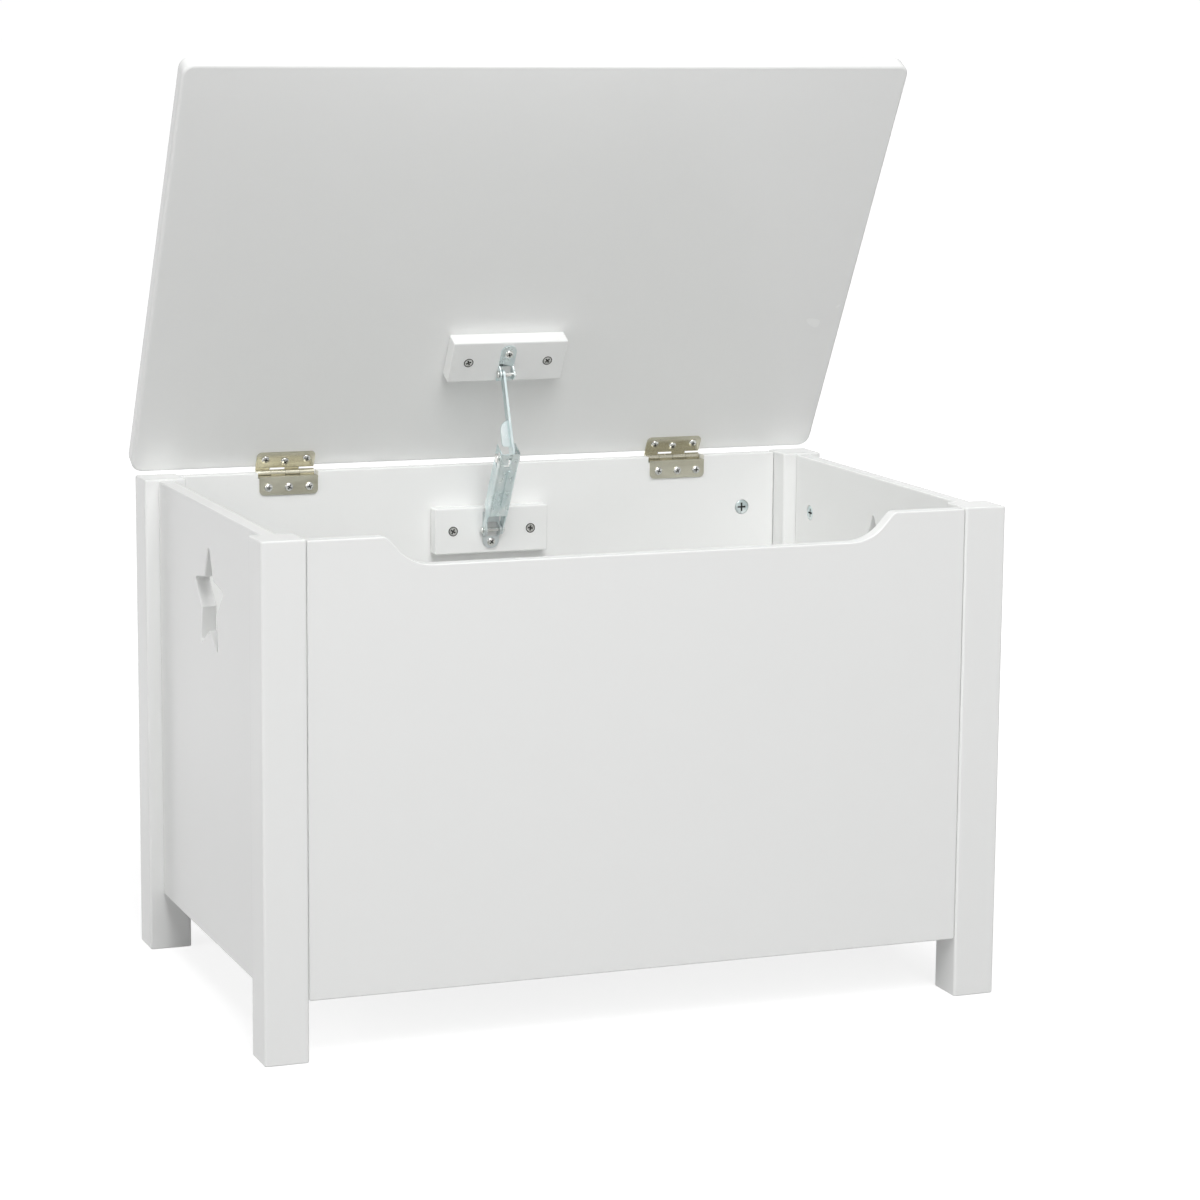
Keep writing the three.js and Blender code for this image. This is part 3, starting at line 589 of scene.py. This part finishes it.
def add_back_panel():
    low, high = local_box("back_panel", FRONTWARDS)
    middle = (low.x + high.x) / 2
    centres = []
    cutters = cam_cutters("back")
    _, panel_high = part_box("back_panel")
    for side in ("left", "right"):
        leaf_low, leaf_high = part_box(f"{side}_hinge_lower_leaf")
        centres.append((leaf_low.x + leaf_high.x) / 2 - middle)
        barrel_low = PIVOT["lid_hinge"] - Vector((0, HINGE_NOTCH["barrel"], HINGE_NOTCH["barrel"]))
        notch_low = (leaf_low.x - NOTCH_SIDE_GAP, barrel_low.y, barrel_low.z)
        notch_high = (
            leaf_high.x + NOTCH_SIDE_GAP,
            panel_high.y + NOTCH_OVERSHOOT,
            panel_high.z + NOTCH_OVERSHOOT,
        )
        cutters.append((block_mesh(notch_low, notch_high), UP))
    loops = [notched_loop(high.x - low.x, high.y - low.y, centres)]
    board("back_panel", FRONTWARDS, loops, PANEL_EDGE, cutters)


def add_side_panel(side):
    node = f"{side}_panel"
    low, high = local_box(node, RIGHTWARDS)
    outline = rectangle(high.x - low.x, high.y - low.y, PANEL_CORNER)
    star = star_loop(STAR["z"] - (low.y + high.y) / 2)
    board(node, RIGHTWARDS, [outline, star], STAR_EDGE, cam_cutters(side))


def add_carcass():
    for end in ("front", "back"):
        for side in ("left", "right"):
            plain_board(f"{end}_{side}_post", UP, POST_CORNER, POST_EDGE)
    add_front_panel()
    add_back_panel()
    add_side_panel("left")
    add_side_panel("right")
    refine("floor_panel", FLOOR_PANEL_EASE)


def add_lid_and_blocks():
    plain_board("lid_panel", LID_UNDER, LID_CORNER, LID_EDGE)
    plain_board("lid_stay_block", LID_UNDER, BLOCK_CORNER, BLOCK_EDGE)
    plain_board("back_stay_block", FRONTWARDS, BLOCK_CORNER, BLOCK_EDGE)


# ---------- screws and rivets ----------

LEAF_SCREW = {"head": 3.4 * MM, "rise": 1.7 * MM, "shank": 1.5 * MM}
BRACKET_SCREW = {"head": 3.6 * MM, "rise": 1.9 * MM, "shank": 1.7 * MM}
DOME_STEPS = 7
DOME_RIM = 0.3
SHANK_SHOWN = 3 * MM
PAN_CROSS = {"length": 1.25, "width": 0.26, "depth": 0.72}
PAN_RECESS_REACH = 0.64
PAN_RECESS_TOP = -0.3 * MM
FLAT_SCREW = {
    "head": 4.1 * MM,
    "shank": 2 * MM,
    "length": 5 * MM,
    "cone": 2.3 * MM,
    "sunk": 0.35 * MM,
    "rim": 0.2 * MM,
    "crown": 0.35 * MM,
    "dish": 0.18 * MM,
    "middle": 0.12 * MM,
}
FLAT_CROWN_IN = 0.4 * MM
FLAT_DISH_IN = 0.8 * MM
# width of the ring of painted shade round a countersunk head's rim
FLAT_PAINTED_SHADE_RING = 0.75 * MM
FLAT_CROSS = {"length": 1.15, "width": 0.34}
FLAT_CROSS_DEPTH = 0.3 * MM
FLAT_RECESS_REACH = 0.7
FLAT_RECESS_TOP = 0.4 * MM
SCREW_TURN = math.radians(37)
UPPER_BRACKET_TURN = math.radians(20)
LOWER_BRACKET_TURN = math.radians(50)


def domed_profile(head, rise, shank):
    """A pan head from its shank up: a short straight rim, then a dome to the top at z = 0."""
    rim = rise * DOME_RIM
    profile = [(0, -rise - SHANK_SHOWN), (shank, -rise - SHANK_SHOWN), (shank, -rise), (head, -rise)]
    for step in range(DOME_STEPS + 1):
        angle = QUARTER * step / DOME_STEPS
        profile.append((head * math.cos(angle), -rise + rim + (rise - rim) * math.sin(angle)))
    profile[-1] = (0, 0)
    return profile


def pan_screw_mesh(name, head, rise, shank):
    cross = cross_cutters(
        length=head * PAN_CROSS["length"],
        width=head * PAN_CROSS["width"],
        depth=rise * PAN_CROSS["depth"],
        top=0,
    )
    screw = carve(turned_mesh(name, domed_profile(head, rise, shank)), cross)
    # the cross recess gets painted shade
    return paint_recess_shade(screw, PAN_RECESS_REACH * head, PAN_RECESS_TOP)


def flat_screw_mesh(head, shank, length, cone, sunk, rim, crown, dish, middle):
    """A countersunk head, a hair proud of z = 0, its outer ring given painted shade round a shallow dished face.
    """
    profile = [
        (0, -length),
        (shank, -length),
        (shank, -cone),
        (head, -sunk),
        (head, rim),
        (head - FLAT_CROWN_IN, crown),
        (head - FLAT_DISH_IN, dish),
        (0, middle),
    ]
    cross = cross_cutters(
        length=head * FLAT_CROSS["length"],
        width=head * FLAT_CROSS["width"],
        depth=FLAT_CROSS_DEPTH,
        top=crown,
    )
    screw = carve(turned_mesh("flat_screw", profile), cross)
    # the cross recess gets painted shade
    paint_recess_shade(screw, FLAT_RECESS_REACH * head, FLAT_RECESS_TOP)
    # painted shade on the head's outer ring
    for face in screw.polygons:
        if head - FLAT_PAINTED_SHADE_RING < math.hypot(face.center.x, face.center.y):
            face.material_index = 1
    return screw


def fasten(node, mesh, place, turn):
    """A fastener whose top is at the node's outermost point, turned about its own axis."""
    low, high = local_box(node, place)
    top = Matrix.Translation(((low.x + high.x) / 2, (low.y + high.y) / 2, high.z))
    stand_in(node + "_head", mesh.copy(), node, place @ top @ Matrix.Rotation(turn, 4, "Z"))


def add_screws():
    leaf_screw = pan_screw_mesh("leaf_screw", **LEAF_SCREW)
    bracket_screw = pan_screw_mesh("bracket_screw", **BRACKET_SCREW)
    block_screw = flat_screw_mesh(**FLAT_SCREW)
    turn = 0.0
    for side in ("left", "right"):
        for index in (1, 2, 3):
            fasten(f"{side}_hinge_upper_screw_{index}", leaf_screw, LID_UNDER, turn)
            fasten(f"{side}_hinge_lower_screw_{index}", leaf_screw, FRONTWARDS, -turn)
            turn += SCREW_TURN
        fasten(f"lid_block_screw_{side}", block_screw, LID_UNDER, turn)
        fasten(f"back_block_screw_{side}", block_screw, FRONTWARDS, turn + SCREW_TURN)
    fasten("stay_upper_bracket_screw", bracket_screw, LID_UNDER, UPPER_BRACKET_TURN)
    fasten("stay_lower_bracket_screw", bracket_screw, FRONTWARDS, LOWER_BRACKET_TURN)


# ---------- hinges and stay ----------

LEAF_EASE = 0.18 * MM
STAY_EASE = 0.25 * MM
PIN_EASE = 0.3 * MM


def add_hinges_and_stay():
    for side in ("left", "right"):
        refine(f"{side}_hinge_upper_leaf", LEAF_EASE)
        refine(f"{side}_hinge_lower_leaf", LEAF_EASE)
        refine(f"{side}_hinge_pin", PIN_EASE)
    for node in ("stay_upper_bracket", "stay_upper_arm", "stay_channel_arm"):
        refine(node, STAY_EASE)
    cad_copy("stay_lower_bracket")
    for node in ("stay_upper_pin", "stay_elbow_pin", "stay_lower_pin"):
        refine(node, PIN_EASE)


# ---------- studio ----------

FLOOR_SIZE = 60
FLOOR_CELLS = 8
FLOOR_TINT = (0.45, 0.45, 0.45, 1)
FLOOR_GLOW_TINT = (1, 1, 1, 1)
FLOOR_ROUGHNESS = 0.8
# the seen glow is lower near the object: painted shade on the floor round it
FLOOR_GLOW_NEAR = 0.77
FLOOR_GLOW_FAR = 1.0
FLOOR_GLOW_REACH = (0.45, 1.3)
FLOOR_GLOW_ON_OBJECT = 0.06
CAMERA = {
    "x": -970.8 * MM,
    "y": -2608.3 * MM,
    "z": 775.5 * MM,
    "yaw": math.radians(21.137),
    "pitch": math.radians(-9.650),
    "roll": math.radians(0.483),
    "lens": 105.3,
}
CAMERA_REACH = 500
LIGHTS = (
    # name, place, target, size, power
    ("key", (-0.3, -4.2, 2.6), (0, 0, 0.35), 2.2, 39),
    ("high", (-0.5, -3.0, 3.9), (0, 0, 0.35), 2.2, 95),
    ("top", (0.2, 0.2, 4.0), (0, 0, 0), 3.0, 26),
    ("left", (-4.2, -1.0, 1.8), (0, 0, 0.3), 2.0, 41),
    ("inner", (0, -0.14, 0.95), (0, 0.25, 0.45), 0.5, 0.5),
)
SKY = ((0.0, 1.12), (0.55, 1.12), (0.64, 0.6), (0.85, 0.75), (1.0, 1.0))
SKY_STRENGTH = 0.9
SKY_STRENGTH_ON_OBJECT = 0.22


def seen_or_cast(tree, seen, cast):
    """A node giving one strength where the studio is seen, and another for the soft light it casts."""
    path = tree.nodes.new("ShaderNodeLightPath")
    spread = tree.nodes.new("ShaderNodeMapRange")
    spread.inputs["To Min"].default_value = seen
    spread.inputs["To Max"].default_value = cast
    tree.links.new(path.outputs["Is Diffuse Ray"], spread.inputs["Value"])
    return spread


def paint_shade_near_object(tree, glow):
    """Makes the floor's glow, as seen, grow with the distance from the object: painted shade on the floor near the
    object.
    """
    coordinate = tree.nodes.new("ShaderNodeTexCoord")
    length = tree.nodes.new("ShaderNodeVectorMath")
    length.operation = "LENGTH"
    spread = tree.nodes.new("ShaderNodeMapRange")
    spread.interpolation_type = "SMOOTHSTEP"
    spread.inputs["From Min"].default_value = FLOOR_GLOW_REACH[0]
    spread.inputs["From Max"].default_value = FLOOR_GLOW_REACH[1]
    spread.inputs["To Min"].default_value = FLOOR_GLOW_NEAR
    spread.inputs["To Max"].default_value = FLOOR_GLOW_FAR
    tree.links.new(coordinate.outputs["Object"], length.inputs[0])
    tree.links.new(length.outputs["Value"], spread.inputs["Value"])
    tree.links.new(spread.outputs["Result"], glow.inputs["To Min"])


def floor_material():
    """A matt white sweep whose glow wipes out all but the object's contact shadow, the glow dimmed near the object
    as painted shade.
    """
    material = bpy.data.materials.new("studio_floor")
    material.use_nodes = True
    tree = material.node_tree
    shader = tree.nodes["Principled BSDF"]
    shader.inputs["Base Color"].default_value = FLOOR_TINT
    shader.inputs["Roughness"].default_value = FLOOR_ROUGHNESS
    shader.inputs["Specular IOR Level"].default_value = 0.0
    shader.inputs["Emission Color"].default_value = FLOOR_GLOW_TINT
    glow = seen_or_cast(tree, FLOOR_GLOW_FAR, FLOOR_GLOW_ON_OBJECT)
    tree.links.new(glow.outputs["Result"], shader.inputs["Emission Strength"])
    # painted shade: the glow dimmed near the object
    paint_shade_near_object(tree, glow)
    return material


def add_floor():
    work = bmesh.new()
    bmesh.ops.create_grid(work, x_segments=FLOOR_CELLS, y_segments=FLOOR_CELLS, size=FLOOR_SIZE)
    mesh = bpy.data.meshes.new("studio_floor")
    work.to_mesh(mesh)
    work.free()
    floor = new_object("studio_floor", mesh)
    mesh.materials.append(floor_material())


def add_light(name, place, target, size, power):
    light = bpy.data.lights.new(name, "AREA")
    light.shape = "DISK"
    light.size = size
    light.energy = power
    lamp = bpy.data.objects.new(name, light)
    lamp.location = place
    lamp.rotation_euler = (Vector(target) - Vector(place)).to_track_quat("-Z", "Y").to_euler()
    bpy.context.scene.collection.objects.link(lamp)


def add_sky():
    """A studio dome: white at the horizon and overhead, greyer between."""
    world = bpy.data.worlds.new("studio")
    bpy.context.scene.world = world
    world.use_nodes = True
    tree = world.node_tree
    background = tree.nodes["Background"]
    coordinate = tree.nodes.new("ShaderNodeTexCoord")
    split = tree.nodes.new("ShaderNodeSeparateXYZ")
    spread = tree.nodes.new("ShaderNodeMapRange")
    spread.inputs["From Min"].default_value = -1
    ramp = tree.nodes.new("ShaderNodeValToRGB")
    elements = ramp.color_ramp.elements
    while len(elements) < len(SKY):
        elements.new(0.5)
    for element, (position, level) in zip(elements, SKY):
        element.position = position
        element.color = (level, level, level, 1)
    tree.links.new(coordinate.outputs["Generated"], split.inputs["Vector"])
    tree.links.new(split.outputs["Z"], spread.inputs["Value"])
    tree.links.new(spread.outputs["Result"], ramp.inputs["Fac"])
    tree.links.new(ramp.outputs["Color"], background.inputs["Color"])
    strength = seen_or_cast(tree, SKY_STRENGTH, SKY_STRENGTH_ON_OBJECT)
    tree.links.new(strength.outputs["Result"], background.inputs["Strength"])


def add_camera():
    data = bpy.data.cameras.new("camera")
    data.lens = CAMERA["lens"]
    data.clip_end = CAMERA_REACH
    camera = bpy.data.objects.new("camera", data)
    bpy.context.scene.collection.objects.link(camera)
    yaw, pitch, roll = CAMERA["yaw"], CAMERA["pitch"], CAMERA["roll"]
    ahead = Vector((math.sin(yaw) * math.cos(pitch), math.cos(yaw) * math.cos(pitch), math.sin(pitch)))
    right = Vector((math.cos(yaw), -math.sin(yaw), 0))
    up = right.cross(ahead)
    rolled_right = right * math.cos(roll) + up * math.sin(roll)
    rolled_up = up * math.cos(roll) - right * math.sin(roll)
    turned = Matrix((rolled_right, rolled_up, -ahead)).transposed().to_4x4()
    place = Vector((CAMERA["x"], CAMERA["y"], CAMERA["z"]))
    camera.matrix_world = Matrix.Translation(place) @ turned
    bpy.context.scene.camera = camera


# ---------- the whole scene ----------

add_carcass()
add_lid_and_blocks()
add_cams()
add_screws()
add_hinges_and_stay()
add_floor()
add_sky()
for light in LIGHTS:
    add_light(*light)
add_camera()
bpy.context.scene.view_settings.view_transform = "Standard"
